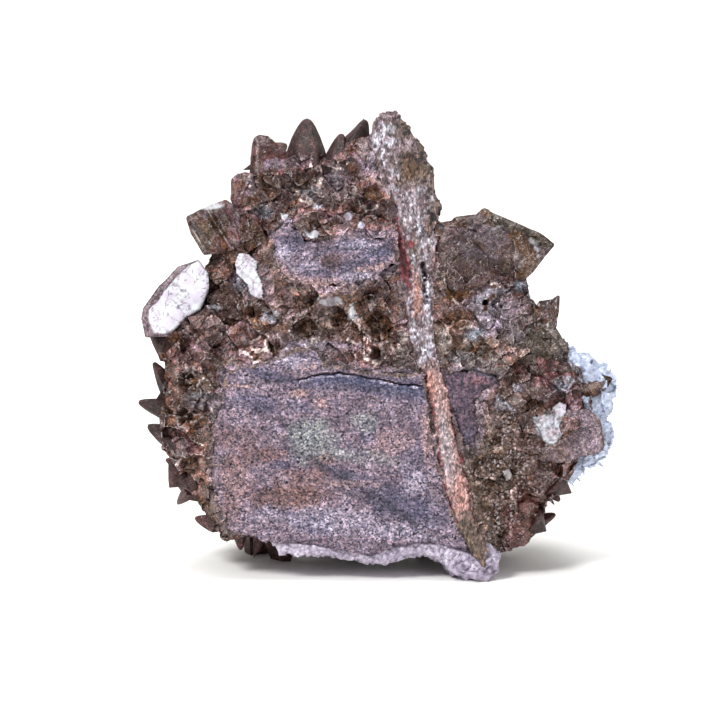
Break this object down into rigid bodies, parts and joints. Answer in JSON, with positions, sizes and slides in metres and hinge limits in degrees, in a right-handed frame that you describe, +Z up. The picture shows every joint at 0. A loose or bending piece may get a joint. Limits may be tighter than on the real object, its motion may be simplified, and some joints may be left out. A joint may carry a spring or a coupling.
{
  "type": "calcite and gypsum specimen",
  "caption": "Hand specimen of brown dogtooth calcite with white gypsum crusts on banded purple grey host rock. It rests on the floor, leaning back on its own crystals.",
  "frame": {"origin": "on the floor below the middle of the specimen's bounding box", "axes": "+X to the right along the broken face, +Y from the broken face into the crystals, +Z up"},
  "size_m": [0.0604, 0.0316, 0.0574],
  "materials": {
    "host_rock": "matte",
    "dark_host_rock": "matte",
    "seam": "matte",
    "calcite": "satin",
    "gypsum": "satin"
  },
  "bodies": {
    "root": {"host_rock_slab": "host_rock", "host_rock_lens": "host_rock", "host_rock_wedge": "dark_host_rock", "mineral_seam": "seam", "calcite_crystals": "calcite", "gypsum_crust_right": "gypsum", "gypsum_crust_bottom": "gypsum"}
  },
  "joints": []
}
